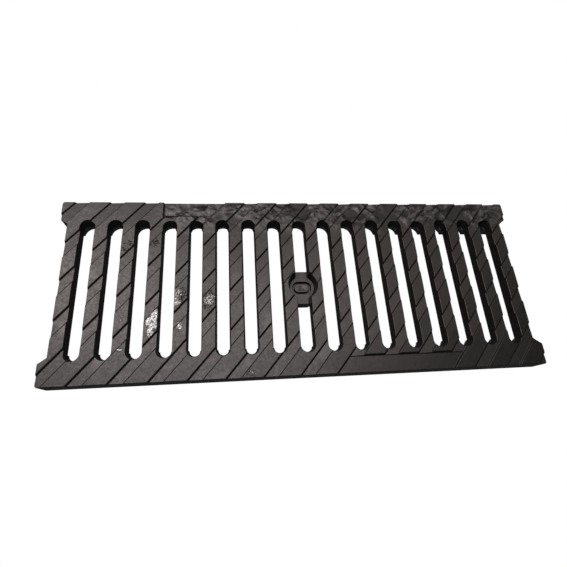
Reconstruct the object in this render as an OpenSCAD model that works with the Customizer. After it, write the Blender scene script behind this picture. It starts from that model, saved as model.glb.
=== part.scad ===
// Ductile iron grate for a drainage channel: a slotted plate on two deep seat rims,
// with raised anti-slip ribs running diagonally across its top and a bolt housing
// in the middle slot. X runs along the channel, Y across it. The origin is the
// middle of the seat plane, on which both rims stand.

/* [Grate] */
// Length along the channel, which is one pitch more than the slots take
grate_l = 500; // [450:10:560]
// Width across the channel
grate_w = 192; // [186:1:220]
// Height from the seat plane to the top of the ribs
grate_h = 24; // [23:0.5:30]
// Radius of the four upright corners
corner_r = 2.5; // [1:0.5:5]
// Bevel along the foot of the two long sides, which eases the grate into its frame
foot_bevel = 2; // [1:0.5:3]

/* [Slots] */
// Number of slots
slot_n = 17; // [15:2:19]
// Width of a slot at the top
slot_w = 15; // [13:0.5:16]
// Length of a slot at the top, over its round ends
slot_l = 148; // [130:1:150]
// Depth from the rib tops to the parting line of the casting, where a slot is narrowest
part_d = 10; // [9:0.5:12]
// How far each wall of a slot leans in above the parting line
slot_lean = 1.5; // [0.8:0.1:2]
// Depth from the rib tops to the underside of the bars
bar_d = 17; // [15:0.5:20]
// Width of a bar at its underside
bar_foot_w = 7; // [5:0.5:9]
// Length of the half slot in each end face
notch_l = 150; // [140:1:152]
// How much shorter each end of the half slot is at its bottom
notch_cut = 5.5; // [4:0.5:8]

// How much further a rim stands in round the end of a slot, just below the parting line
end_ledge = 1.5; // [1:0.1:2]
// Radius of a slot's round ends at the seat plane
end_foot_r = 10; // [8:0.5:11]

/* [Rims] */
// Distance from the axis to the inner face of a rim, at the parting line
rim_y = 66; // [64.5:0.5:69]
// How far the inner face of a rim leans back from there to the seat plane
rim_lean = 1.5; // [1:0.5:3]

/* [Anti-slip ribs] */
// Distance between neighbouring ribs, measured along the channel
rib_pitch = 35.7; // [34:0.1:38]
// Width of the flat top of a rib, measured along the channel
rib_w = 20.4; // [17:0.1:24]
// Angle between the ribs and the channel
rib_a = 49.3; // [46:0.1:54]
// Place on the channel's axis where the steep flank of the middle rib crosses it
rib_x = 1; // [-3:0.5:3]
// Height of the steep flank of a rib
rib_h = 2; // [1.7:0.1:2.1]
// Height of the low flank of a rib, up to which the floor between two ribs climbs
rib_step = 1.4; // [1:0.1:1.6]
// How far the steep flank leans out over its height
flank_lean = 1.1; // [0.6:0.1:1.4]

/* [Bare panels] */
// Depth of the panels below the rib tops
panel_d = 2.2; // [2.2:0.1:3.2]
// Distance from the channel's axis to the inner edge of both panels
panel_y = 78.3; // [77:0.1:84]
// How far the inner edge of a panel, and the straight end of the back one, lean out
panel_lean = 1.5; // [0.8:0.1:2]

/* [Lock housing] */
// Place of the lock on Y
lock_y = -2.5; // [-4:0.5:0]
// Diameter of the round pocket at the top, which cuts into the bars on both sides
pocket_d = 31; // [29:0.5:33]
// Diameter of the pocket at its floor
pocket_floor_d = 26; // [25:0.5:28]
// Outer diameter of the housing that hangs under the two middle bars
housing_d = 39; // [36:0.5:40]
// Length of the housing along the slot
housing_l = 37; // [34:0.5:38]
// Height of the pocket's floor above the seat plane
floor_z = 12.5; // [11:0.5:14]
// Length of the oblong bolt hole
hole_l = 20.5; // [18:0.5:22]
// Width of the oblong bolt hole
hole_w = 13.5; // [11:0.5:14]
// Thickness of the iron under the oblong hole
hole_web = 8.5; // [7:0.5:9]
// Diameter of the round hole for the shank
shank_hole_d = 9; // [8.5:0.5:10]

/* [Lock bolt] */
// Length of the oblong head
head_l = 16.5; // [14:0.5:18]
// Width of the oblong head
head_w = 10; // [8:0.5:11]
// Height of the oblong head
head_h = 3.6; // [3:0.2:4.2]
// Width of the bevel round the top of the head
head_bevel = 0.8; // [0.4:0.1:1.2]
// Diameter of the dimple in the middle of the head
dimple_d = 5; // [3:0.5:6]
// Depth of the dimple
dimple_h = 1; // [0.5:0.1:1.5]
// Diameter of the shank
shank_d = 8; // [6:0.5:8.2]
// Gap between the end of the shank and the seat plane
shank_gap = 0.5; // [0.1:0.1:1]

/* [Hidden] */
$fn = 48;
iron = [0.24, 0.23, 0.23];
bolt_iron = [0.32, 0.31, 0.3];
// Overshoot of a cut past the face that it opens
cut = 1;
// Each end face holds half a slot, so a row of grates keeps one pitch throughout
slot_pitch = grate_l / (slot_n + 1);
slot_r = slot_w / 2;
// Heights above the seat plane
part_z = grate_h - part_d;
bar_z = grate_h - bar_d;
// Half widths of a slot: at the parting line, and between the feet of two bars
neck_r = slot_r - slot_lean;
foot_r = (slot_pitch - bar_foot_w) / 2;
// Lean of the walls for each millimetre of height, above and below the parting line
upper_slope = slot_lean / part_d;
lower_slope = (foot_r - neck_r) / (part_z - bar_z);
// The floor between two ribs, measured square to them
gap_w = (rib_pitch - rib_w) * sin(rib_a);
// Ribs to each side of the middle one, until they are past the corners
rib_n = ceil((grate_l + grate_w / tan(rib_a)) / 2 / rib_pitch);
// The panels end at these ribs, counted from the middle one to the right
back_panel_ribs = [-6, -4];
front_panel_ribs = [3, 7];
// How far the straight end of the back panel reaches into the rib at its corner
panel_bite = 0.8;

// Place on X where the steep flank of a rib starts, at a distance y from the axis
function rib_at(rib, y) = rib_x + rib * rib_pitch + y / tan(rib_a);

// One tooth of the comb below: the space between the feet of two bars
function tooth(x) = let (tip_r = neck_r - cut * lower_slope) [
    [x - foot_r, bar_z], [x - tip_r, part_z + cut],
    [x + tip_r, part_z + cut], [x + foot_r, bar_z]
];

// Bar with round ends and leaning walls: run is the distance between the centres
// of its ends along Y, and r1 and r2 are its half widths at the bottom and the top
module oblong(run, r1, r2, h) {
    rotate([90, 0, 0])
        linear_extrude(run, center = true)
            polygon([[-r1, 0], [r1, 0], [r2, h], [-r2, h]]);
    for (side = [-1, 1])
        translate([0, side * run / 2, 0])
            cylinder(h = h, r1 = r1, r2 = r2);
}

// Blank of the casting, with its four upright corners rounded
module blank() {
    linear_extrude(grate_h) {
        square([grate_l - 2 * corner_r, grate_w], center = true);
        square([grate_l, grate_w - 2 * corner_r], center = true);
        for (sx = [-1, 1], sy = [-1, 1])
            translate([sx * (grate_l / 2 - corner_r), sy * (grate_w / 2 - corner_r)])
                circle(corner_r);
    }
}

// Cut that bevels the foot of the back side
module foot_bevel_cut() {
    rotate([90, 0, 90])
        linear_extrude(grate_l + 2 * cut, center = true)
            polygon([
                [grate_w / 2 - foot_bevel - cut, -cut],
                [grate_w / 2 + cut, -cut],
                [grate_w / 2 + cut, foot_bevel + cut]
            ]);
}

// Upper part of a slot: its walls and round ends lean in down to the parting line
module slot_upper() {
    translate([0, 0, part_z - cut])
        oblong(slot_l - slot_w, neck_r - cut * upper_slope, slot_r + cut * upper_slope,
               part_d + 2 * cut);
}

// Lower part of a slot, which shows at its ends only: a ledge at the parting line, and
// a round end that leans out from there to the seat plane
module slot_lower() {
    top_r = neck_r - end_ledge;
    translate([0, 0, -cut])
        oblong(slot_l - slot_w, end_foot_r + cut * (end_foot_r - top_r) / part_z, top_r,
               part_z + cut);
}

// Half slot in the right end face, with slanted ends
module end_notch() {
    out_y = notch_l / 2 + cut * notch_cut / slot_r;
    in_y = notch_l / 2 - notch_cut;
    translate([grate_l / 2, 0, -cut])
        linear_extrude(grate_h + 2 * cut)
            polygon([[cut, out_y], [-slot_r, in_y], [-slot_r, -in_y], [cut, -out_y]]);
}

// Space below the parting line: a comb whose teeth leave a bar with a narrow foot
// between them, ending at the leaning inner faces of the two rims
module underside() {
    end = grate_l / 2 + foot_r + cut;
    teeth = [for (i = [0 : slot_n + 1]) each tooth(i * slot_pitch - grate_l / 2)];
    slope = rim_lean / part_z;
    low = rim_y + rim_lean + cut * slope;
    high = rim_y - 2 * cut * slope;
    intersection() {
        rotate([90, 0, 0])
            linear_extrude(grate_w, center = true)
                polygon(concat([[-end, -cut], [-end, bar_z]], teeth, [[end, bar_z], [end, -cut]]));
        rotate([90, 0, 90])
            linear_extrude(2 * grate_l, center = true)
                polygon([
                    [-low, -cut], [low, -cut],
                    [high, part_z + 2 * cut], [-high, part_z + 2 * cut]
                ]);
    }
}

// Iron that the slots and the comb leave standing in the middle: the floor of the lock
// pocket, and a cheek under each of the two bars beside it
module lock_housing() {
    translate([0, lock_y, 0]) intersection() {
        translate([0, 0, -2 * cut])
            union() {
                cylinder(h = floor_z + 2 * cut, d = housing_d);
                difference() {
                    cylinder(h = part_z + 4 * cut, d = housing_d);
                    cube([slot_pitch, housing_d + cut, 3 * part_z], center = true);
                }
            }
        cube([housing_d + cut, housing_l, 3 * grate_h], center = true);
    }
}

// Round pocket, oblong hole for the bolt's head and round hole for its shank
module lock_pocket() {
    lean = (pocket_d - pocket_floor_d) / 2 / (grate_h - floor_z);
    h = grate_h - floor_z + cut;
    translate([0, lock_y, floor_z])
        cylinder(h = h, r1 = pocket_floor_d / 2, r2 = pocket_floor_d / 2 + h * lean);
    translate([0, lock_y, hole_web])
        rotate(90)
            oblong(hole_l - hole_w, hole_w / 2, hole_w / 2, floor_z - hole_web + cut);
    translate([0, lock_y, -cut])
        cylinder(h = hole_web + 2 * cut, d = shank_hole_d);
}

// Space between two ribs: the steep flank of the left one, a floor that climbs to
// the right, and the low flank of the next
module rib_gap(w = gap_w, left_d = rib_h, right_d = rib_step) {
    slope = flank_lean / rib_h;
    rotate([90, 0, rib_a + 90])
        linear_extrude(2 * grate_l, center = true)
            polygon([
                [cut * slope, grate_h + cut],
                [-left_d * slope, grate_h - left_d],
                [right_d * slope - w, grate_h - right_d],
                [-cut * slope - w, grate_h + cut]
            ]);
}

// Cut for a bare panel: the space between the flanks of two ribs, as far as it lies in
// one rim (front is 0 or 1) and to the right of a place on X
module panel(front, ribs, left) {
    slope = panel_lean / panel_d;
    in = -cut * slope;
    out = (panel_d + cut) * slope;
    top = grate_h + cut;
    low = grate_h - panel_d - cut;
    intersection() {
        translate([rib_x + ribs[0] * rib_pitch, 0, 0])
            rib_gap((rib_pitch * (ribs[1] - ribs[0]) - rib_w) * sin(rib_a), panel_d, panel_d);
        mirror([0, front, 0])
            rotate([90, 0, 90])
                linear_extrude(2 * grate_l, center = true)
                    polygon([
                        [panel_y + in, top], [panel_y + out, low],
                        [grate_w / 2 + cut, low], [grate_w / 2 + cut, top]
                    ]);
        rotate([90, 0, 0])
            linear_extrude(2 * grate_w, center = true)
                polygon([[left + in, top], [left + out, low], [grate_l, low], [grate_l, top]]);
    }
}

// Panel in the back rim: its left end runs straight back from the flank of a rib,
// and its right end follows the low flank of another
module back_panel() {
    panel(0, [back_panel_ribs[0] - 1, back_panel_ribs[1]],
          rib_at(back_panel_ribs[0], panel_y) - panel_bite);
}

// Panel in the front rim: both its ends follow a rib
module front_panel() {
    panel(1, front_panel_ribs, -grate_l);
}

// The casting
module grate() {
    color(iron)
        difference() {
            blank();
            difference() {
                union() {
                    underside();
                    for (i = [1 : slot_n])
                        translate([i * slot_pitch - grate_l / 2, 0, 0]) {
                            slot_upper();
                            slot_lower();
                        }
                }
                lock_housing();
            }
            for (side = [0, 1]) {
                mirror([side, 0, 0])
                    end_notch();
                mirror([0, side, 0])
                    foot_bevel_cut();
            }
            lock_pocket();
            for (i = [-rib_n : rib_n])
                translate([rib_x + i * rib_pitch, 0, 0])
                    rib_gap();
            back_panel();
            front_panel();
        }
}

// Bolt with an oblong head that lies in the oblong hole
module lock_bolt() {
    color(bolt_iron) translate([0, lock_y, 0]) {
        translate([0, 0, hole_web])
            difference() {
                rotate(90)
                    intersection() {
                        oblong(head_l - head_w, head_w / 2, head_w / 2, head_h);
                        oblong(head_l - head_w, head_w / 2 - head_bevel + head_h,
                               head_w / 2 - head_bevel, head_h);
                    }
                translate([0, 0, head_h - dimple_h])
                    cylinder(h = dimple_h + cut, r1 = 0,
                             r2 = dimple_d / 2 * (1 + cut / dimple_h));
            }
        translate([0, 0, shank_gap])
            cylinder(h = hole_web - shank_gap + head_h / 2, d = shank_d);
    }
}

grate();
lock_bolt();
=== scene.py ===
import math

import bmesh
import bpy
from bpy.props import FloatProperty, FloatVectorProperty, IntProperty, PointerProperty
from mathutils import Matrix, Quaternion, Vector


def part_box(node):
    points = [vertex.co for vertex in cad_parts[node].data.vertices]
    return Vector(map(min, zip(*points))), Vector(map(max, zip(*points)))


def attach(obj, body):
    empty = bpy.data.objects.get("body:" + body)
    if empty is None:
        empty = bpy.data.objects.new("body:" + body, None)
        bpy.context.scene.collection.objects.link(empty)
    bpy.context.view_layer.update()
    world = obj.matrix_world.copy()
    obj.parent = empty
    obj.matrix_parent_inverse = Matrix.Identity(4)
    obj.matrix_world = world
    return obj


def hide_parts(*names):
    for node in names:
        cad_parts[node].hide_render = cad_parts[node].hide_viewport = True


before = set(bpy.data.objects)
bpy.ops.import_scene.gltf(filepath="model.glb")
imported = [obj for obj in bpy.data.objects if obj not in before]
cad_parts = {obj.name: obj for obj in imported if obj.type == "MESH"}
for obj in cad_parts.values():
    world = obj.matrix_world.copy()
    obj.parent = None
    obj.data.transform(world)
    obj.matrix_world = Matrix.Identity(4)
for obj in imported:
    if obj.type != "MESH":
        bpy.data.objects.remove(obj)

bl_info = {
    "name": "Channel Drain Grate",
    "version": (1, 0, 0),
    "blender": (4, 5, 0),
    "location": "View3D > Sidebar > Grate",
    "description": "Dresses a cast-iron channel grate and its locking bolt",
    "category": "Object",
}

MM = 0.001

# The casting's box in the frame, from which its length, width and height are taken
CAST_LOW, CAST_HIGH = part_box("grate")
CAST_SIZE = CAST_HIGH - CAST_LOW
# Overshoot of a cut past the face that it opens
CUT = 1 * MM
# Distance within which points of one shape are joined, and that for slivers on a whole piece
WELD = 0.001 * MM
SLIVER = 50 * WELD
# Boolean solver, which takes closed shells only
SOLVER = "MANIFOLD"
# Sides of a full circle: of the housing, of its pocket, of the shank's hole and of all others
HOUSING_SIDES = 96
POCKET_SIDES = 72
SHANK_HOLE_SIDES = 32
ROUND_SIDES = 48
# Points on the arc of an upright corner, and steps across a rounded edge
CORNER_POINTS = 6
ROUNDING_STEPS = 3
# An edge that bends by more than this is rounded
SHARP_BEND = math.radians(30)
# Side of the floor in metres
FLOOR_SIDE = 40
# The bare panels end at these ribs, counted from the middle one to the right
BACK_PANEL_RIBS = (-6, -4)
FRONT_PANEL_RIBS = (3, 7)
# How far the straight end of the back panel reaches into the rib at its corner
PANEL_BITE = 0.8 * MM
CAMERA_PLACE = Vector((-0.0703, -0.1475, 0.4017))
CAMERA_TARGET = Vector((-0.021, -0.0017, 0.0244))
CAMERA_ROLL = math.radians(16.27)
# Soft boxes in a row overhead, brighter to the left: where each hangs, and its power in watts
SOFT_BOXES = {
    "left_box": ((-0.54, 0.3, 0.8), 5.5),
    "middle_box": ((-0.12, 0.12, 0.8), 3.1),
    "right_box": ((0.2, 0.2, 0.8), 1.6),
    "far_box": ((0.8, 0.6, 0.8), 0.55),
}

# Noise in the coating: the size of its lumps in mm, detail, roughness and distortion. The grain
# of casting sand is 0.3 mm, and is drawn coarser, or it wouldn't show
NOISES = {
    "runs": (26, 5, 0.6, 0),
    "dullness": (2.6, 3, 0.6, 0),
    "patches": (38, 2, 0.5, 0),
    "swirls": (13, 2, 0.5, 1.5),
    "edges": (4, 1, 0.5, 0),
    "specks": (1.9, 3, 0.7, 1),
    "grain": (0.9, 4, 0.6, 0),
    "skin": (5, 3, 0.5, 0),
    "smears": (12, 2, 0.4, 0.6),
    "chips": (2.2, 2, 0.5, 0),
    "pits": (1.9, 3, 0.7, 0),
}
# Levels of some of that noise between which a mask goes from none to full
MASKS = {"runs": (0.56, 0.66), "dullness": (0.35, 0.65), "patches": (0.38, 0.5),
         "swirls": (0.48, 0.6), "pits": (0.5, 0.56)}
# Roughness of the coating: where it has run together, where it is thin, and what a pit adds
RUN_ROUGHNESS = 0.36
THIN_ROUGHNESS = (0.4, 0.5)
PIT_ROUGHNESS = 0.55
# Bare iron sets in between these sums of how much a spot is chipped and the noise of its specks
BARE_LEVELS = (0.98, 1.1)
# Reach in mm of the noise that makes the edges of a spot ragged
RAGGED = 9
# Strength of each relief, and its height in mm
RELIEFS = {"grain": (0.5, 0.06), "skin": (0.6, 0.25), "smears": (1, 3.5), "holes": (1, 0.6)}
# Axes, and the places in mm between which the smears on top of the back rim set in
SMEARED = (("X", -160, -120), ("Y", 55, 80), ("Z", CAST_HIGH.z / MM - 4, CAST_HIGH.z / MM - 3))
# Spots on the top in which the coating has chipped off, and pitted spots: X, Y and reach in mm,
# and how much of the spot that is
CHIPPED = ((-149, -31, 9, 0.57), (-152, -40, 12, 0.58), (-153, -49, 7, 0.56),
           (-128, -9, 10, 0.56), (-129, -18, 9, 0.6), (-97, -17, 12, 0.58), (-125, -43, 6, 0.57),
           (-180, -65, 3, 0.6), (-180, -34, 3, 0.5), (-57, -91, 5, 0.54))
PITTED = ((-184, 41, 6, 1), (-180, 46, 5, 1), (-154, 47, 6, 0.8), (-97, -17, 11, 1),
          (-127, -12, 11, 1), (-57, -91, 5, 0.4))


def linear(hex_colour):
    """Linear RGBA of an sRGB hex colour such as #24211f."""
    parts = [int(hex_colour[i:i + 2], 16) / 255 for i in (1, 3, 5)]
    return tuple(c / 12.92 if c < 0.04045 else ((c + 0.055) / 1.055) ** 2.4 for c in parts) + (1.0,)


def size(name, millimetres, description):
    """Length property with its default in millimetres."""
    return FloatProperty(name=name, description=description, default=millimetres * MM,
                         unit="LENGTH", precision=4)


def colour(name, hex_colour, description):
    """Colour property with its default as sRGB hex."""
    return FloatVectorProperty(name=name, description=description, subtype="COLOR", size=4,
                               min=0, max=1, default=linear(hex_colour))


class CastingSettings(bpy.types.PropertyGroup):
    """Sizes of the slotted casting and its seat rims"""

    corner_radius: size("Corner Radius", 2.5, "Radius of the four upright corners")
    foot_bevel: size("Foot Bevel", 2, "Bevel along the foot of the two long sides")
    edge_radius: size("Edge Radius", 0.5, "Rounding that sand casting leaves on every edge")
    slot_count: IntProperty(name="Slots", description="Number of slots", default=17, min=1)
    slot_width: size("Slot Width", 15, "Width of a slot at the top")
    slot_length: size("Slot Length", 148, "Length of a slot at the top")
    part_depth: size("Parting Depth", 10, "Depth of the parting line, where a slot is narrowest")
    slot_lean: size("Slot Lean", 1.5, "How far a slot's wall leans in above the parting line")
    bar_depth: size("Bar Depth", 17, "Depth from the rib tops to the underside of a bar")
    bar_foot: size("Bar Foot", 7, "Width of a bar at its underside")
    notch_length: size("End Slot Length", 150, "Length of the half slot in each end face")
    notch_cut: size("End Slot Slant", 5.5, "How much shorter the half slot is at its bottom")
    end_ledge: size("End Ledge", 1.5, "How much further a rim stands in round the end of a "
                    "slot, just below the parting line")
    end_foot: size("End Foot", 10, "Radius of a slot's round ends at the seat plane")
    rim_face: size("Rim Face", 66, "Distance from the axis to the rims' inner faces")
    rim_lean: size("Rim Lean", 1.5, "How far the inner face of a rim leans back to its seat")


class RibSettings(bpy.types.PropertyGroup):
    """Sizes of the anti-slip ribs and the bare panels between them"""

    pitch: size("Pitch", 35.7, "Distance between neighbouring ribs along the channel")
    width: size("Width", 20.4, "Width of the flat top of a rib along the channel")
    angle: FloatProperty(name="Angle", description="Angle between the ribs and the channel",
                         default=math.radians(49.3), subtype="ANGLE")
    start: size("Start", 1, "Where the steep flank of the middle rib crosses the channel's axis")
    height: size("Height", 2, "Height of the steep flank of a rib")
    step: size("Low Step", 1.4, "Height of the low flank, up to which the floor climbs")
    lean: size("Flank Lean", 1.1, "How far the steep flank leans out over its height")
    panel_depth: size("Panel Depth", 2.2, "Depth of the bare panels below the rib tops")
    panel_edge: size("Panel Edge", 78.3, "Distance from the axis to the panels' inner edges")
    panel_lean: size("Panel Lean", 1.5, "How far the inner edge of a panel, and the straight "
                     "end of the back one, lean out")


class LockSettings(bpy.types.PropertyGroup):
    """Sizes of the housing in the middle slot and of the bolt that lies in it"""

    place: size("Place", -2.5, "Place of the lock across the channel")
    pocket_top: size("Pocket Top", 31, "Diameter of the round pocket at the rib tops")
    pocket_floor: size("Pocket Floor", 26, "Diameter of the round pocket at its floor")
    floor_height: size("Floor Height", 12.5, "Height of the pocket's floor above the seat")
    housing_width: size("Housing Width", 39, "Outer diameter of the housing")
    housing_length: size("Housing Length", 37, "Length of the housing along the slot")
    hole_length: size("Hole Length", 20.5, "Length of the oblong hole for the bolt's head")
    hole_width: size("Hole Width", 13.5, "Width of the oblong hole")
    web: size("Web", 8.5, "Height of the hole's floor above the seat")
    shank_hole: size("Shank Hole", 9, "Diameter of the round hole for the shank")
    head_length: size("Head Length", 16.5, "Length of the bolt's oblong head")
    head_width: size("Head Width", 10, "Width of the bolt's oblong head")
    head_height: size("Head Height", 3.6, "Height of the head")
    head_edge: size("Head Edge", 0.8, "Rounding of the head's edges")
    dimple: size("Dimple", 5, "Diameter of the dimple in the head")
    dimple_depth: size("Dimple Depth", 1, "Depth of the dimple")
    shank: size("Shank", 8, "Diameter of the shank")
    shank_gap: size("Shank Gap", 0.5, "Gap between the end of the shank and the seat plane")


class FinishSettings(bpy.types.PropertyGroup):
    """Colours of the coating on the casting and the bolt"""

    coating: colour("Coating", "#100e0d", "Black dipped coating where it is thin and dull")
    pooled: colour("Pooled Coating", "#0a0908", "The same coating where it has run together")
    # Lighter grey painted into the swirls on the smeared back rim: a painted sheen
    smeared: colour("Smeared Coating", "#3c3b3c",
                    "The same coating where it was smeared, and dusty")
    bolt: colour("Bolt", "#151312", "Forged bolt under its black coating")
    bare: colour("Bare Iron", "#909192", "Bright iron where the coating has chipped off")


class StageSettings(bpy.types.PropertyGroup):
    """Floor, lights and camera"""

    floor: colour("Floor", "#ffffff", "Plain white floor")
    light: colour("Light", "#fff4f3", "Colour of the soft boxes")
    box_side: size("Box Side", 450, "Side of each square soft box")
    fill: FloatProperty(name="Fill", description="Brightness of the light from all round",
                        default=0.07, min=0)
    focal_length: FloatProperty(name="Focal Length", description="Focal length on a sensor "
                                "36 mm wide", default=24.914, unit="CAMERA")


def add(tree, kind, inputs=None, **settings):
    """Adds a node. An input takes a value, a socket, a node's first output or a list of nodes."""
    node = tree.nodes.new(kind)
    for name, value in settings.items():
        setattr(node, name, value)
    for key, value in (inputs or {}).items():
        for source in value if isinstance(value, list) else [value]:
            if isinstance(source, bpy.types.Node):
                source = source.outputs[0]
            if isinstance(source, bpy.types.NodeSocket):
                tree.links.new(source, node.inputs[key])
            else:
                node.inputs[key].default_value = source
    return node


def new_tree(name, kinds):
    """Geometry Nodes tree with a named input of each kind, and the sockets of those inputs."""
    tree = bpy.data.node_groups.new(name, "GeometryNodeTree")
    for label, kind in kinds.items():
        tree.interface.new_socket(label, in_out="INPUT", socket_type=f"NodeSocket{kind}")
    tree.interface.new_socket("Geometry", in_out="OUTPUT", socket_type="NodeSocketGeometry")
    entry = add(tree, "NodeGroupInput")
    return tree, {label: entry.outputs[label] for label in kinds}


def kinds_of(sizes):
    """Kind of socket that takes each of these sizes."""
    kinds = {int: "Int", float: "Float", tuple: "Vector", bpy.types.Material: "Material"}
    return {label: kinds[type(value)] for label, value in sizes.items()}


def by_name(group, sockets):
    """Inputs of a group that are filled by sockets of the same names."""
    return {item.name: sockets[item.name] for item in group.interface.items_tree
            if item.in_out == "INPUT"}


def closed_prism_tree():
    """Closed prism that stands on a flat curve."""
    tree, given = new_tree("Closed Prism", {"Curve": "Geometry", "Height": "Float"})
    face = add(tree, "GeometryNodeFillCurve", {"Curve": given["Curve"]}, mode="NGONS")
    walls = add(tree, "GeometryNodeExtrudeMesh", {
        "Mesh": face, "Offset": (0, 0, 1), "Offset Scale": given["Height"],
        "Individual": False}, mode="FACES")
    bottom = add(tree, "GeometryNodeFlipFaces", {"Mesh": face})
    whole = add(tree, "GeometryNodeJoinGeometry", {"Geometry": [walls, bottom]})
    welded = add(tree, "GeometryNodeMergeByDistance", {"Geometry": whole, "Distance": WELD})
    add(tree, "NodeGroupOutput", {"Geometry": welded})
    return tree


def four_sided_prism_tree(closed_prism):
    """Closed prism with four corners."""
    corners = {f"Point {i}": "Vector" for i in (1, 2, 3, 4)}
    tree, given = new_tree("Four-Sided Prism", {**corners, "Height": "Float"})
    outline = add(tree, "GeometryNodeCurvePrimitiveQuadrilateral",
                  {label: given[label] for label in corners}, mode="POINTS")
    prism = add(tree, "GeometryNodeGroup", {"Curve": outline, "Height": given["Height"]},
                node_tree=closed_prism)
    add(tree, "NodeGroupOutput", {"Geometry": prism})
    return tree


def round_ended_bar_tree():
    """Bar along Y with round ends and leaning walls: the halves of a cone, pulled apart."""
    tree, given = new_tree("Round-Ended Bar", {
        "Half Run": "Float", "Bottom Radius": "Float", "Top Radius": "Float", "Height": "Float",
        "Sides": "Int"})
    cone = add(tree, "GeometryNodeMeshCone", {
        "Vertices": given["Sides"], "Radius Bottom": given["Bottom Radius"],
        "Radius Top": given["Top Radius"], "Depth": given["Height"]}, fill_type="NGON")
    # Half a side's turn keeps every corner off the line along which the cone parts
    turn = add(tree, "ShaderNodeMath", {0: math.pi, 1: given["Sides"]}, operation="DIVIDE")
    turned = add(tree, "GeometryNodeTransform", {
        "Geometry": cone, "Rotation": add(tree, "ShaderNodeCombineXYZ", {"Z": turn})})
    place = add(tree, "ShaderNodeSeparateXYZ", {"Vector": add(tree, "GeometryNodeInputPosition")})
    side = add(tree, "ShaderNodeMath", {0: place.outputs["Y"]}, operation="SIGN")
    shift = add(tree, "ShaderNodeMath", {0: side, 1: given["Half Run"]}, operation="MULTIPLY")
    parted = add(tree, "GeometryNodeSetPosition", {
        "Geometry": turned, "Offset": add(tree, "ShaderNodeCombineXYZ", {"Y": shift})})
    add(tree, "NodeGroupOutput", {"Geometry": parted})
    return tree


def tapered_box_tree():
    """Box whose bottom and top are given as half width, half length and height."""
    tree, given = new_tree("Tapered Box", {"Bottom": "Vector", "Top": "Vector"})
    cube = add(tree, "GeometryNodeMeshCube", {"Size": (2, 2, 2)})
    corner = add(tree, "ShaderNodeSeparateXYZ", {"Vector": add(tree, "GeometryNodeInputPosition")})
    up = add(tree, "ShaderNodeMapRange", {"Value": corner.outputs["Z"], "From Min": -1})
    level = add(tree, "ShaderNodeMix", {
        "Factor": up, "A": given["Bottom"], "B": given["Top"]}, data_type="VECTOR")
    signs = add(tree, "ShaderNodeCombineXYZ", {
        "X": corner.outputs["X"], "Y": corner.outputs["Y"], "Z": 1})
    place = add(tree, "ShaderNodeVectorMath", {
        0: level.outputs["Result"], 1: signs}, operation="MULTIPLY")
    tapered = add(tree, "GeometryNodeSetPosition", {"Geometry": cube, "Position": place})
    add(tree, "NodeGroupOutput", {"Geometry": tapered})
    return tree


def row_tree():
    """Row of copies of a mesh."""
    tree, given = new_tree("Row", {
        "Mesh": "Geometry", "Count": "Int", "Start": "Vector", "Step": "Vector"})
    line = add(tree, "GeometryNodeMeshLine", {
        "Count": given["Count"], "Start Location": given["Start"], "Offset": given["Step"]})
    copies = add(tree, "GeometryNodeInstanceOnPoints", {
        "Points": line, "Instance": given["Mesh"]})
    real = add(tree, "GeometryNodeRealizeInstances", {"Geometry": copies})
    add(tree, "NodeGroupOutput", {"Geometry": real})
    return tree


def rib_gap_tree(four_sided_prism):
    """Space between two flanks, which runs aslant across the channel's axis at the origin. The
    steep flank of the left rib passes through the origin, and the floor climbs to the right."""
    tree, given = new_tree("Rib Gap", {
        "Gap Width": "Float", "Left Depth": "Float", "Right Depth": "Float",
        "Flank Slope": "Float", "Rib Top": "Float", "Rib Run": "Float", "Rib Angle": "Float"})
    left = add(tree, "ShaderNodeMath", {0: given["Flank Slope"], 1: -1}, operation="MULTIPLY")
    far = add(tree, "ShaderNodeMath", {0: given["Gap Width"], 1: -1}, operation="MULTIPLY")
    corners = {}
    for i, (depth, slope, foot) in enumerate((
            (-CUT, left, 0), (given["Left Depth"], left, 0),
            (given["Right Depth"], given["Flank Slope"], far), (-CUT, given["Flank Slope"], far))):
        across = add(tree, "ShaderNodeMath", {0: depth, 1: slope, 2: foot},
                     operation="MULTIPLY_ADD")
        up = add(tree, "ShaderNodeMath", {0: given["Rib Top"], 1: depth}, operation="SUBTRACT")
        corners[f"Point {i + 1}"] = add(tree, "ShaderNodeCombineXYZ", {"X": across, "Y": up})
    bar = add(tree, "GeometryNodeGroup", {**corners, "Height": given["Rib Run"]},
              node_tree=four_sided_prism)
    back = add(tree, "ShaderNodeMath", {0: given["Rib Run"], 1: -0.5}, operation="MULTIPLY")
    centred = add(tree, "GeometryNodeTransform", {
        "Geometry": bar, "Translation": add(tree, "ShaderNodeCombineXYZ", {"Z": back})})
    square = add(tree, "ShaderNodeMath", {0: given["Rib Angle"], 1: math.pi / 2}, operation="ADD")
    turn = add(tree, "ShaderNodeCombineXYZ", {"X": math.pi / 2, "Z": square})
    slanted = add(tree, "GeometryNodeTransform", {"Geometry": centred, "Rotation": turn})
    add(tree, "NodeGroupOutput", {"Geometry": slanted})
    return tree


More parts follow.
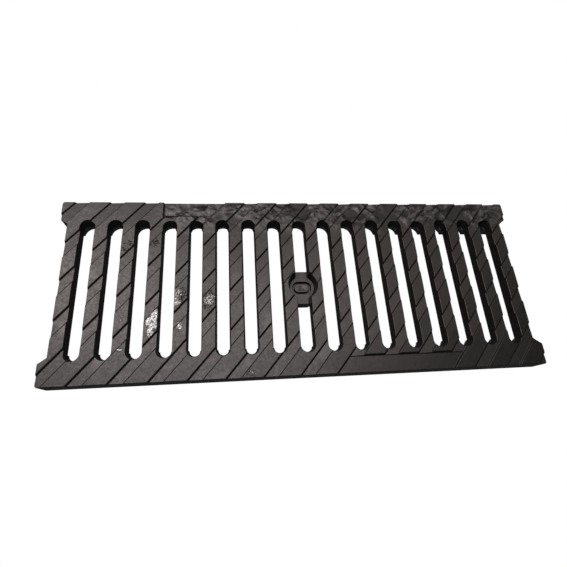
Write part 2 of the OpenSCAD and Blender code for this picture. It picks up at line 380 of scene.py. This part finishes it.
def blank_tree(closed_prism):
    """Blank of the casting: its four upright corners are rounded and its long feet bevelled."""
    tree, given = new_tree("Blank", {
        "Length": "Float", "Width": "Float", "Height": "Float", "Corner Radius": "Float",
        "Bevel Side": "Float"})
    outline = add(tree, "GeometryNodeCurvePrimitiveQuadrilateral", {
        "Width": given["Length"], "Height": given["Width"]}, mode="RECTANGLE")
    rounded = add(tree, "GeometryNodeFilletCurve", {
        "Curve": outline, "Radius": given["Corner Radius"], "Count": CORNER_POINTS},
        mode="POLY")
    plate = add(tree, "GeometryNodeGroup", {"Curve": rounded, "Height": given["Height"]},
                node_tree=closed_prism)
    long = add(tree, "ShaderNodeMath", {0: given["Length"], 1: 2 * CUT}, operation="ADD")
    bevel = add(tree, "GeometryNodeMeshCube", {"Size": add(tree, "ShaderNodeCombineXYZ", {
        "X": long, "Y": given["Bevel Side"], "Z": given["Bevel Side"]})})
    bevels = []
    for side in (-0.5, 0.5):
        out = add(tree, "ShaderNodeMath", {0: given["Width"], 1: side}, operation="MULTIPLY")
        bevels.append(add(tree, "GeometryNodeTransform", {
            "Geometry": bevel, "Rotation": (math.pi / 4, 0, 0),
            "Translation": add(tree, "ShaderNodeCombineXYZ", {"Y": out})}))
    blank = add(tree, "GeometryNodeMeshBoolean", {"Mesh 1": plate, "Mesh 2": bevels},
                operation="DIFFERENCE", solver=SOLVER)
    add(tree, "NodeGroupOutput", {"Geometry": blank})
    return tree


def underside_tree(tapered_box, round_ended_bar, row):
    """Slots and the space under the bars: a comb of teeth between the feet of the bars, open
    below, less the housing that hangs under the two middle bars."""
    tree, given = new_tree("Underside", {
        "Upper Slots": "Geometry", "Lower Slots": "Geometry",
        "Tooth Bottom": "Vector", "Tooth Top": "Vector", "Tooth Count": "Int",
        "First Tooth": "Vector", "Slot Step": "Vector",
        "Space Bottom": "Vector", "Space Top": "Vector",
        "Housing Radius": "Float", "Housing Height": "Float",
        "Housing Bottom": "Vector", "Housing Top": "Vector",
        "Well Bottom": "Vector", "Well Top": "Vector", "Lock Place": "Vector"})
    tooth = add(tree, "GeometryNodeGroup", {
        "Bottom": given["Tooth Bottom"], "Top": given["Tooth Top"]}, node_tree=tapered_box)
    teeth = add(tree, "GeometryNodeGroup", {
        "Mesh": tooth, "Count": given["Tooth Count"], "Start": given["First Tooth"],
        "Step": given["Slot Step"]}, node_tree=row)
    space, flanks, well = (add(tree, "GeometryNodeGroup", {
        "Bottom": given[f"{name} Bottom"], "Top": given[f"{name} Top"]}, node_tree=tapered_box)
        for name in ("Space", "Housing", "Well"))
    comb = add(tree, "GeometryNodeMeshBoolean", {
        "Mesh 2": [teeth, space, given["Upper Slots"], given["Lower Slots"]]},
        operation="UNION", solver=SOLVER)
    drum = add(tree, "GeometryNodeGroup", {
        "Half Run": 0.0, "Bottom Radius": given["Housing Radius"],
        "Top Radius": given["Housing Radius"], "Height": given["Housing Height"],
        "Sides": HOUSING_SIDES}, node_tree=round_ended_bar)
    lowered = add(tree, "GeometryNodeTransform", {
        "Geometry": drum, "Translation": (0, 0, -2 * CUT)})
    post = add(tree, "GeometryNodeMeshBoolean", {"Mesh 2": [lowered, flanks]},
               operation="INTERSECT", solver=SOLVER)
    housing = add(tree, "GeometryNodeMeshBoolean", {"Mesh 1": post, "Mesh 2": well},
                  operation="DIFFERENCE", solver=SOLVER)
    placed = add(tree, "GeometryNodeTransform", {
        "Geometry": housing, "Translation": given["Lock Place"]})
    open_space = add(tree, "GeometryNodeMeshBoolean", {"Mesh 1": comb, "Mesh 2": placed},
                     operation="DIFFERENCE", solver=SOLVER)
    add(tree, "NodeGroupOutput", {"Geometry": open_space})
    return tree


def lock_pocket_tree(round_ended_bar):
    """Round pocket, oblong hole for the bolt's head and round hole for its shank."""
    tree, given = new_tree("Lock Pocket", {
        "Pocket Floor Radius": "Float", "Pocket Top Radius": "Float", "Pocket Depth": "Float",
        "Pocket Place": "Vector", "Hole Half Run": "Float", "Hole Radius": "Float",
        "Hole Depth": "Float", "Hole Place": "Vector", "Shank Hole Radius": "Float",
        "Shank Hole Depth": "Float", "Lock Place": "Vector"})
    pocket = add(tree, "GeometryNodeGroup", {
        "Half Run": 0.0, "Bottom Radius": given["Pocket Floor Radius"],
        "Top Radius": given["Pocket Top Radius"], "Height": given["Pocket Depth"],
        "Sides": POCKET_SIDES}, node_tree=round_ended_bar)
    hole = add(tree, "GeometryNodeGroup", {
        "Half Run": given["Hole Half Run"], "Bottom Radius": given["Hole Radius"],
        "Top Radius": given["Hole Radius"], "Height": given["Hole Depth"],
        "Sides": ROUND_SIDES}, node_tree=round_ended_bar)
    shank = add(tree, "GeometryNodeGroup", {
        "Half Run": 0.0, "Bottom Radius": given["Shank Hole Radius"],
        "Top Radius": given["Shank Hole Radius"], "Height": given["Shank Hole Depth"],
        "Sides": SHANK_HOLE_SIDES}, node_tree=round_ended_bar)
    placed = [
        add(tree, "GeometryNodeTransform", {
            "Geometry": pocket, "Translation": given["Pocket Place"]}),
        add(tree, "GeometryNodeTransform", {
            "Geometry": hole, "Translation": given["Hole Place"],
            "Rotation": (0, 0, math.pi / 2)}),
        add(tree, "GeometryNodeTransform", {"Geometry": shank, "Translation": (0, 0, -CUT)}),
    ]
    hollow = add(tree, "GeometryNodeMeshBoolean", {"Mesh 2": placed},
                 operation="UNION", solver=SOLVER)
    in_place = add(tree, "GeometryNodeTransform", {
        "Geometry": hollow, "Translation": given["Lock Place"]})
    add(tree, "NodeGroupOutput", {"Geometry": in_place})
    return tree


def lock_bolt_tree(sizes):
    """Bolt with an oblong head, which has a dimple in the middle."""
    round_ended_bar = round_ended_bar_tree()
    tree, given = new_tree("Lock Bolt", kinds_of(sizes))
    parts = []
    for name in ("Head", "Shank", "Dimple"):
        bar = add(tree, "GeometryNodeGroup", {
            "Half Run": given[f"{name} Half Run"], "Bottom Radius": given[f"{name} Bottom Radius"],
            "Top Radius": given[f"{name} Radius"], "Height": given[f"{name} Height"],
            "Sides": ROUND_SIDES}, node_tree=round_ended_bar)
        parts.append(add(tree, "GeometryNodeTransform", {
            "Geometry": bar, "Translation": given[f"{name} Place"]}))
    head, shank, dimple = parts
    turned = add(tree, "GeometryNodeTransform", {"Geometry": head, "Rotation": (0, 0, math.pi / 2)})
    forged = add(tree, "GeometryNodeMeshBoolean", {"Mesh 2": [turned, shank]},
                 operation="UNION", solver=SOLVER)
    punched = add(tree, "GeometryNodeMeshBoolean", {"Mesh 1": forged, "Mesh 2": dimple},
                  operation="DIFFERENCE", solver=SOLVER)
    placed = add(tree, "GeometryNodeTransform", {
        "Geometry": punched, "Translation": given["Lock Place"]})
    whole = add(tree, "GeometryNodeRealizeInstances", {"Geometry": placed})
    dressed = add(tree, "GeometryNodeSetMaterial", {
        "Geometry": whole, "Material": given["Material"]})
    add(tree, "NodeGroupOutput", {"Geometry": dressed})
    return tree


def casting_tree(sizes):
    """The whole casting: a blank, less everything that the mould's cores leave open."""
    closed_prism = closed_prism_tree()
    four_sided_prism = four_sided_prism_tree(closed_prism)
    round_ended_bar = round_ended_bar_tree()
    tapered_box = tapered_box_tree()
    row = row_tree()
    rib_gap = rib_gap_tree(four_sided_prism)
    blank = blank_tree(closed_prism)
    underside = underside_tree(tapered_box, round_ended_bar, row)
    lock_pocket = lock_pocket_tree(round_ended_bar)
    tree, given = new_tree("Casting", kinds_of(sizes))
    slots = []
    for part in ("Upper", "Lower"):
        slot = add(tree, "GeometryNodeGroup", {
            "Half Run": given["Slot Half Run"], "Bottom Radius": given[f"{part} Bottom Radius"],
            "Top Radius": given[f"{part} Top Radius"], "Height": given[f"{part} Height"],
            "Sides": ROUND_SIDES}, node_tree=round_ended_bar)
        slots.append(add(tree, "GeometryNodeGroup", {
            "Mesh": slot, "Count": given["Slot Count"], "Start": given[f"First {part}"],
            "Step": given["Slot Step"]}, node_tree=row))
    known = {**given, "Upper Slots": slots[0], "Lower Slots": slots[1]}
    body, below, pocket = (add(tree, "GeometryNodeGroup", by_name(group, known), node_tree=group)
                           for group in (blank, underside, lock_pocket))
    half_slot = add(tree, "GeometryNodeGroup", {
        **{f"Point {i}": given[f"End Slot Corner {i}"] for i in (1, 2, 3, 4)},
        "Height": given["Through Height"]}, node_tree=four_sided_prism)
    end_slot = add(tree, "GeometryNodeTransform", {
        "Geometry": half_slot, "Translation": given["End Slot Place"]})
    other_end = add(tree, "GeometryNodeTransform", {
        "Geometry": end_slot, "Rotation": (0, 0, math.pi)})
    gap = add(tree, "GeometryNodeGroup", by_name(rib_gap, given), node_tree=rib_gap)
    gaps = add(tree, "GeometryNodeGroup", {
        "Mesh": gap, "Count": given["Rib Count"], "Start": given["First Rib"],
        "Step": given["Rib Step"]}, node_tree=row)
    panels = []
    for side in ("Back", "Front"):
        wide_gap = add(tree, "GeometryNodeGroup", {
            **by_name(rib_gap, given), "Gap Width": given[f"{side} Panel Width"],
            "Left Depth": given["Panel Depth"], "Right Depth": given["Panel Depth"]},
            node_tree=rib_gap)
        between_ribs = add(tree, "GeometryNodeTransform", {
            "Geometry": wide_gap, "Translation": given[f"{side} Panel Rib"]})
        rim = add(tree, "GeometryNodeGroup", {
            "Bottom": given[f"{side} Rim Bottom"], "Top": given[f"{side} Rim Top"]},
            node_tree=tapered_box)
        in_rim = add(tree, "GeometryNodeTransform", {
            "Geometry": rim, "Translation": given[f"{side} Rim Place"]})
        panels.append(add(tree, "GeometryNodeMeshBoolean", {"Mesh 2": [between_ribs, in_rim]},
                          operation="INTERSECT", solver=SOLVER))
    cast = add(tree, "GeometryNodeMeshBoolean", {
        "Mesh 1": body, "Mesh 2": [below, end_slot, other_end, pocket, gaps, *panels]},
        operation="DIFFERENCE", solver=SOLVER)
    # Joins the slivers that are left where a cut crosses a corner
    welded = add(tree, "GeometryNodeMergeByDistance", {"Geometry": cast, "Distance": SLIVER})
    whole = add(tree, "GeometryNodeRealizeInstances", {"Geometry": welded})
    dressed = add(tree, "GeometryNodeSetMaterial", {
        "Geometry": whole, "Material": given["Material"]})
    add(tree, "NodeGroupOutput", {"Geometry": dressed})
    return tree


def casting_sizes(cast, rib, lock, material):
    """Inputs of the casting's tree, worked out from the settings and the casting's own box."""
    length, width, height = CAST_SIZE
    pitch = length / (cast.slot_count + 1)
    slot_r = cast.slot_width / 2
    neck_r = slot_r - cast.slot_lean
    foot_r = (pitch - cast.bar_foot) / 2
    part_z, bar_z = height - cast.part_depth, height - cast.bar_depth
    upper_slope = cast.slot_lean / cast.part_depth
    lower_slope = (foot_r - neck_r) / (part_z - bar_z)
    end_slope = (cast.end_foot - neck_r + cast.end_ledge) / part_z
    end_y, slant = cast.notch_length / 2, cast.notch_cut
    pocket_slope = (lock.pocket_top - lock.pocket_floor) / 2 / (height - lock.floor_height)
    pocket_depth = height - lock.floor_height + CUT
    cot = 1 / math.tan(rib.angle)
    side_ribs = math.ceil((length + width * cot) / 2 / rib.pitch)
    # Left of its first rib, the back panel runs straight back instead
    back_ribs = (BACK_PANEL_RIBS[0] - 1, BACK_PANEL_RIBS[1])
    back_left = rib.start + BACK_PANEL_RIBS[0] * rib.pitch + rib.panel_edge * cot - PANEL_BITE

    def under_bars(half_width, z):
        """Half width, half length between the leaning rims, and height."""
        return (half_width, cast.rim_face + cast.rim_lean * (1 - z / part_z), z)

    def rib_space(ribs):
        """Width, square to them, of the space between the flanks of two ribs."""
        return ((ribs[1] - ribs[0]) * rib.pitch - rib.width) * math.sin(rib.angle)

    def rib_place(number):
        """Where the steep flank of a rib crosses the channel's axis."""
        return (rib.start + number * rib.pitch, 0.0, 0.0)

    def rim_part(name, left, side):
        """Box in one rim, from a place on X to the right, with leaning sides."""
        ends = height - rib.panel_depth - CUT, height + CUT
        edges = [[edge + (height - z) * rib.panel_lean / rib.panel_depth
                  for edge in (left, rib.panel_edge)] for z in ends]
        middle = (edges[0][0] + length) / 2, (edges[0][1] + width / 2 + CUT) / 2
        bottom, top = ((middle[0] - edge[0], middle[1] - edge[1], z)
                       for edge, z in zip(edges, ends))
        return {f"{name} Rim Bottom": bottom, f"{name} Rim Top": top,
                f"{name} Rim Place": (middle[0], side * middle[1], 0.0)}

    return {
        # The blank
        "Length": length,
        "Width": width,
        "Height": height,
        "Corner Radius": cast.corner_radius,
        "Bevel Side": cast.foot_bevel * math.sqrt(2),
        # The slots, above the parting line and below it
        "Slot Count": cast.slot_count,
        "Slot Step": (pitch, 0.0, 0.0),
        "Slot Half Run": (cast.slot_length - cast.slot_width) / 2,
        "First Upper": (pitch - length / 2, 0.0, part_z - CUT),
        "Upper Bottom Radius": neck_r - CUT * upper_slope,
        "Upper Top Radius": slot_r + CUT * upper_slope,
        "Upper Height": cast.part_depth + 2 * CUT,
        "First Lower": (pitch - length / 2, 0.0, -CUT),
        "Lower Bottom Radius": cast.end_foot + CUT * end_slope,
        "Lower Top Radius": neck_r - cast.end_ledge,
        "Lower Height": part_z + CUT,
        # The half slots in the end faces
        "Through Height": height + 2 * CUT,
        "End Slot Place": (length / 2, 0.0, -CUT),
        "End Slot Corner 1": (CUT, end_y + CUT * slant / slot_r, 0.0),
        "End Slot Corner 2": (-slot_r, end_y - slant, 0.0),
        "End Slot Corner 3": (-slot_r, slant - end_y, 0.0),
        "End Slot Corner 4": (CUT, -end_y - CUT * slant / slot_r, 0.0),
        # The space between and under the bars
        "Tooth Count": cast.slot_count + 2,
        "First Tooth": (-length / 2, 0.0, 0.0),
        "Tooth Bottom": under_bars(foot_r + CUT * lower_slope, bar_z - CUT),
        "Tooth Top": under_bars(neck_r - CUT * lower_slope, part_z + CUT),
        "Space Bottom": under_bars(length / 2 + 2 * foot_r, -CUT),
        "Space Top": under_bars(length / 2 + 2 * foot_r, bar_z),
        # The lock's housing
        "Housing Radius": lock.housing_width / 2,
        "Housing Height": part_z + 4 * CUT,
        "Housing Bottom": (lock.housing_width, lock.housing_length / 2, -3 * CUT),
        "Housing Top": (lock.housing_width, lock.housing_length / 2, height),
        "Well Bottom": (pitch / 2, lock.housing_length, lock.floor_height),
        "Well Top": (pitch / 2, lock.housing_length, height),
        # The lock's pocket and holes
        "Pocket Floor Radius": lock.pocket_floor / 2,
        "Pocket Top Radius": lock.pocket_floor / 2 + pocket_depth * pocket_slope,
        "Pocket Depth": pocket_depth,
        "Pocket Place": (0.0, 0.0, lock.floor_height),
        "Hole Half Run": (lock.hole_length - lock.hole_width) / 2,
        "Hole Radius": lock.hole_width / 2,
        "Hole Depth": lock.floor_height - lock.web + CUT,
        "Hole Place": (0.0, 0.0, lock.web),
        "Shank Hole Radius": lock.shank_hole / 2,
        "Shank Hole Depth": lock.web + 2 * CUT,
        "Lock Place": (0.0, lock.place, 0.0),
        # The spaces between the ribs
        "Rib Count": 2 * side_ribs + 1,
        "First Rib": rib_place(-side_ribs),
        "Rib Step": (rib.pitch, 0.0, 0.0),
        "Rib Angle": rib.angle,
        "Rib Top": height,
        "Rib Run": 2 * length,
        "Gap Width": rib_space((0, 1)),
        "Left Depth": rib.height,
        "Right Depth": rib.step,
        "Flank Slope": rib.lean / rib.height,
        # The bare panels
        "Panel Depth": rib.panel_depth,
        "Back Panel Width": rib_space(back_ribs),
        "Back Panel Rib": rib_place(back_ribs[0]),
        "Front Panel Width": rib_space(FRONT_PANEL_RIBS),
        "Front Panel Rib": rib_place(FRONT_PANEL_RIBS[0]),
        **rim_part("Back", back_left, 1),
        **rim_part("Front", -length, -1),
        "Material": material,
    }


def bolt_sizes(lock, material):
    """Inputs of the bolt's tree."""
    radius = lock.head_width / 2
    dimple_top = lock.dimple / 2 * (1 + CUT / lock.dimple_depth)
    return {
        "Head Place": (0.0, 0.0, lock.web),
        "Head Half Run": lock.head_length / 2 - radius,
        "Head Bottom Radius": radius,
        "Head Radius": radius,
        "Head Height": lock.head_height,
        "Shank Place": (0.0, 0.0, lock.shank_gap),
        "Shank Half Run": 0.0,
        "Shank Bottom Radius": lock.shank / 2,
        "Shank Radius": lock.shank / 2,
        "Shank Height": lock.web + lock.head_height / 2 - lock.shank_gap,
        "Dimple Place": (0.0, 0.0, lock.web + lock.head_height - lock.dimple_depth),
        "Dimple Half Run": 0.0,
        "Dimple Bottom Radius": 0.0,
        "Dimple Radius": dimple_top,
        "Dimple Height": lock.dimple_depth + CUT,
        "Lock Place": (0.0, lock.place, 0.0),
        "Material": material,
    }


def piece_from_tree(name, tree, sizes):
    """Object whose plain mesh is what a Geometry Nodes tree makes of these sizes."""
    piece = bpy.data.objects.new(name, bpy.data.meshes.new(name))
    bpy.context.scene.collection.objects.link(piece)
    nodes = piece.modifiers.new("Shape", "NODES")
    nodes.node_group = tree
    for item in tree.interface.items_tree:
        if item.in_out == "INPUT":
            nodes[item.identifier] = sizes[item.name]
    settle(piece)
    return piece


def settle(piece):
    """Turns what an object's modifiers make of it into its own mesh, and removes them."""
    made = bpy.data.meshes.new_from_object(
        piece.evaluated_get(bpy.context.evaluated_depsgraph_get()))
    piece.modifiers.clear()
    old, piece.data = piece.data, made
    bpy.data.meshes.remove(old)
    made.name = piece.name


def round_edges(piece, radius):
    """Joins slivers, then rounds every sharp edge."""
    mesh = bmesh.new()
    mesh.from_mesh(piece.data)
    bmesh.ops.dissolve_degenerate(mesh, edges=mesh.edges, dist=SLIVER)
    bmesh.ops.recalc_face_normals(mesh, faces=mesh.faces)
    for face in mesh.faces:
        face.smooth = True
    mesh.to_mesh(piece.data)
    mesh.free()
    bevel = piece.modifiers.new("Rounding", "BEVEL")
    bevel.width = radius
    bevel.segments = ROUNDING_STEPS
    bevel.limit_method = "ANGLE"
    bevel.angle_limit = SHARP_BEND
    bevel.use_clamp_overlap = False
    bevel.miter_outer = "MITER_ARC"
    bevel.harden_normals = True
    settle(piece)


def spots(tree, place, centres):
    """Mask of spots on the top, each full in its middle and fading to none at its reach."""
    found = 0.0
    for x, y, reach, share in centres:
        away = add(tree, "ShaderNodeVectorMath", {
            0: place, 1: (x * MM, y * MM, CAST_HIGH.z)}, operation="DISTANCE")
        spot = add(tree, "ShaderNodeMapRange", {
            "Value": away.outputs["Value"], "From Min": reach * MM, "From Max": reach * MM / 3,
            "To Max": share}, interpolation_type="SMOOTHSTEP")
        found = add(tree, "ShaderNodeMath", {0: spot, 1: found}, operation="MAXIMUM")
    return found


def coating(name, finish, dull, cast):
    """Black dipped coating, whose grain, smears and chips grow with cast, from 0 on smooth forged
    steel to 1 on sand-cast iron."""
    material = bpy.data.materials.new(name)
    material.use_nodes = True
    tree = material.node_tree
    tree.nodes.clear()
    place = add(tree, "ShaderNodeTexCoord").outputs["Object"]
    noise, mask = {}, {}
    for label, (lump, detail, roughness, distortion) in NOISES.items():
        noise[label] = add(tree, "ShaderNodeTexNoise", {
            "Vector": place, "Scale": 1 / (lump * MM), "Detail": detail,
            "Roughness": roughness, "Distortion": distortion})
    for label, (low, high) in MASKS.items():
        mask[label] = add(tree, "ShaderNodeMapRange", {
            "Value": noise[label], "From Min": low, "From Max": high},
            interpolation_type="SMOOTHSTEP")

    # Where the coating has run together it is smooth and glossy, elsewhere thin and dull
    tone = add(tree, "ShaderNodeMix", {
        "Factor": mask["runs"], "A": dull, "B": finish.pooled}, data_type="RGBA")
    thin = add(tree, "ShaderNodeMix", {
        "Factor": mask["dullness"], "A": THIN_ROUGHNESS[0], "B": THIN_ROUGHNESS[1]})
    gloss = add(tree, "ShaderNodeMix", {
        "Factor": mask["runs"], "A": thin.outputs["Result"], "B": RUN_ROUGHNESS})

    # On the back rim the coating was smeared into lumps, and its swirls there are painted a lighter
    # grey, a painted sheen
    along = add(tree, "ShaderNodeSeparateXYZ", {"Vector": place})
    smeared = add(tree, "ShaderNodeMath", {0: mask["patches"], 1: cast}, operation="MULTIPLY")
    for axis, low, high in SMEARED:
        inside = add(tree, "ShaderNodeMapRange", {
            "Value": along.outputs[axis], "From Min": low * MM, "From Max": high * MM},
            interpolation_type="SMOOTHSTEP")
        smeared = add(tree, "ShaderNodeMath", {0: smeared, 1: inside}, operation="MULTIPLY")
    swirls = add(tree, "ShaderNodeMath", {0: smeared, 1: mask["swirls"]}, operation="MULTIPLY")
    painted_sheen = add(tree, "ShaderNodeMix", {
        "Factor": swirls, "A": tone.outputs["Result"], "B": finish.smeared}, data_type="RGBA")

    # In ragged spots it has chipped off, down to specks of bare iron, which glint
    astray = add(tree, "ShaderNodeVectorMath", {
        0: noise["edges"].outputs["Color"], 1: (0.5, 0.5, 0.5)}, operation="SUBTRACT")
    ragged = add(tree, "ShaderNodeVectorMath", {
        0: astray, 1: (RAGGED * MM, RAGGED * MM, 0), 2: place}, operation="MULTIPLY_ADD")
    chipped = spots(tree, ragged, CHIPPED)
    speckled = add(tree, "ShaderNodeMath", {0: chipped, 1: noise["specks"]}, operation="ADD")
    specks = add(tree, "ShaderNodeMapRange", {
        "Value": speckled, "From Min": BARE_LEVELS[0], "From Max": BARE_LEVELS[1]},
        interpolation_type="SMOOTHSTEP")
    bare = add(tree, "ShaderNodeMath", {0: specks, 1: cast}, operation="MULTIPLY")
    worn = add(tree, "ShaderNodeMix", {
        "Factor": bare, "A": painted_sheen.outputs["Result"], "B": finish.bare}, data_type="RGBA")

    # A pit is matt and steep, and so looks black
    pitted = add(tree, "ShaderNodeMath", {
        0: spots(tree, ragged, PITTED), 1: mask["pits"]}, operation="MULTIPLY")
    pits = add(tree, "ShaderNodeMath", {0: pitted, 1: cast}, operation="MULTIPLY")
    uneven = add(tree, "ShaderNodeMath", {
        0: pits, 1: PIT_ROUGHNESS, 2: gloss.outputs["Result"]}, operation="MULTIPLY_ADD")

    # Relief of the sand grain, the uneven skin under it, smeared lumps, and chips and pits
    lumps = add(tree, "ShaderNodeMath", {0: smeared, 1: noise["smears"]}, operation="MULTIPLY")
    chips = add(tree, "ShaderNodeMath", {0: chipped, 1: noise["chips"]}, operation="MULTIPLY")
    holed = add(tree, "ShaderNodeMath", {0: chips, 1: pits}, operation="SUBTRACT")
    heights = {"grain": noise["grain"], "skin": noise["skin"], "smears": lumps, "holes": holed}
    relief = {}
    for label, (strength, millimetres) in RELIEFS.items():
        relief = {"Normal": add(tree, "ShaderNodeBump", {
            "Height": heights[label], "Strength": strength * cast,
            "Distance": millimetres * MM, **relief})}
    surface = add(tree, "ShaderNodeBsdfPrincipled", {
        "Base Color": worn.outputs["Result"], "Roughness": uneven, "Metallic": bare, **relief})
    add(tree, "ShaderNodeOutputMaterial", {"Surface": surface})
    return material


def build_casting(scene):
    """The slotted casting, in place of its CAD solid."""
    finish = scene.grate_finish
    material = coating("Black dipped coating on sand-cast iron", finish, finish.coating, 1)
    sizes = casting_sizes(scene.grate_casting, scene.grate_ribs, scene.grate_lock, material)
    casting = piece_from_tree("slotted_casting", casting_tree(sizes), sizes)
    round_edges(casting, scene.grate_casting.edge_radius)
    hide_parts("grate")
    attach(casting, "root")


def build_bolt(scene):
    """The bolt in the lock pocket, in place of its CAD solid."""
    finish = scene.grate_finish
    material = coating("Black dipped coating on forged steel", finish, finish.bolt, 0.3)
    sizes = bolt_sizes(scene.grate_lock, material)
    bolt = piece_from_tree("forged_bolt", lock_bolt_tree(sizes), sizes)
    round_edges(bolt, scene.grate_lock.head_edge)
    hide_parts("lock_bolt")
    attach(bolt, "root")


def build_stage(scene):
    """White floor, a row of soft boxes overhead, and the camera."""
    stage = scene.grate_stage
    bpy.ops.mesh.primitive_plane_add(size=FLOOR_SIDE)
    floor = bpy.context.object
    floor.name = "white_floor"
    paper = bpy.data.materials.new("Plain white paper, lit evenly")
    paper.use_nodes = True
    paper.node_tree.nodes.clear()
    add(paper.node_tree, "ShaderNodeOutputMaterial", {"Surface": add(
        paper.node_tree, "ShaderNodeEmission", {"Color": stage.floor, "Strength": 1})})
    floor.data.materials.append(paper)
    # The object shows against the paper but isn't lit by it
    floor.visible_diffuse = floor.visible_glossy = False
    scene.view_settings.view_transform = "Standard"
    world = bpy.data.worlds.new("Pale room")
    world.use_nodes = True
    world.node_tree.nodes.clear()
    # The room looks as white as the floor, so no horizon shows, but sheds little light
    seen = add(world.node_tree, "ShaderNodeLightPath").outputs["Is Camera Ray"]
    strength = add(world.node_tree, "ShaderNodeMix", {"Factor": seen, "A": stage.fill, "B": 1})
    room = add(world.node_tree, "ShaderNodeBackground", {
        "Color": stage.floor, "Strength": strength.outputs["Result"]})
    add(world.node_tree, "ShaderNodeOutputWorld", {"Surface": room})
    scene.world = world
    for name, (place, power) in SOFT_BOXES.items():
        lamp = bpy.data.lights.new(name, "AREA")
        lamp.shape = "SQUARE"
        lamp.size = stage.box_side
        lamp.energy = power
        lamp.color = stage.light[:3]
        box = bpy.data.objects.new(name, lamp)
        box.location = place
        box.rotation_mode = "QUATERNION"
        box.rotation_quaternion = (-box.location).to_track_quat("-Z", "Y")
        scene.collection.objects.link(box)
    lens = bpy.data.cameras.new("camera")
    lens.lens = stage.focal_length
    camera = bpy.data.objects.new("camera", lens)
    camera.location = CAMERA_PLACE
    camera.rotation_mode = "QUATERNION"
    aim = (CAMERA_TARGET - CAMERA_PLACE).to_track_quat("-Z", "Y")
    camera.rotation_quaternion = aim @ Quaternion((0, 0, 1), CAMERA_ROLL)
    scene.collection.objects.link(camera)
    scene.camera = camera


class GRATE_OT_casting(bpy.types.Operator):
    """Build the slotted casting"""

    bl_idname = "grate.casting"
    bl_label = "Slotted Casting"

    def execute(self, context):
        build_casting(context.scene)
        return {"FINISHED"}


class GRATE_OT_bolt(bpy.types.Operator):
    """Build the bolt of the lock"""

    bl_idname = "grate.bolt"
    bl_label = "Lock Bolt"

    def execute(self, context):
        build_bolt(context.scene)
        return {"FINISHED"}


class GRATE_OT_stage(bpy.types.Operator):
    """Set up the floor, the lights and the camera"""

    bl_idname = "grate.stage"
    bl_label = "Floor, Lights and Camera"

    def execute(self, context):
        build_stage(context.scene)
        return {"FINISHED"}


OPERATORS = (GRATE_OT_stage, GRATE_OT_casting, GRATE_OT_bolt)
SETTINGS = {"grate_casting": CastingSettings, "grate_ribs": RibSettings,
            "grate_lock": LockSettings, "grate_finish": FinishSettings,
            "grate_stage": StageSettings}


class GRATE_PT_pieces(bpy.types.Panel):
    """Lists the pieces of the grate"""

    bl_idname = "GRATE_PT_pieces"
    bl_label = "Channel Drain Grate"
    bl_space_type = "VIEW_3D"
    bl_region_type = "UI"
    bl_category = "Grate"

    def draw(self, context):
        for operator in OPERATORS:
            self.layout.operator(operator.bl_idname)


def register():
    for cls in (*SETTINGS.values(), *OPERATORS, GRATE_PT_pieces):
        bpy.utils.register_class(cls)
    for name, cls in SETTINGS.items():
        setattr(bpy.types.Scene, name, PointerProperty(type=cls))


def unregister():
    for name in SETTINGS:
        delattr(bpy.types.Scene, name)
    for cls in (GRATE_PT_pieces, *reversed(OPERATORS), *reversed(SETTINGS.values())):
        bpy.utils.unregister_class(cls)


def main():
    register()
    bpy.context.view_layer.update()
    bpy.ops.grate.stage()
    bpy.ops.grate.casting()
    bpy.ops.grate.bolt()


if __name__ == "__main__":
    main()
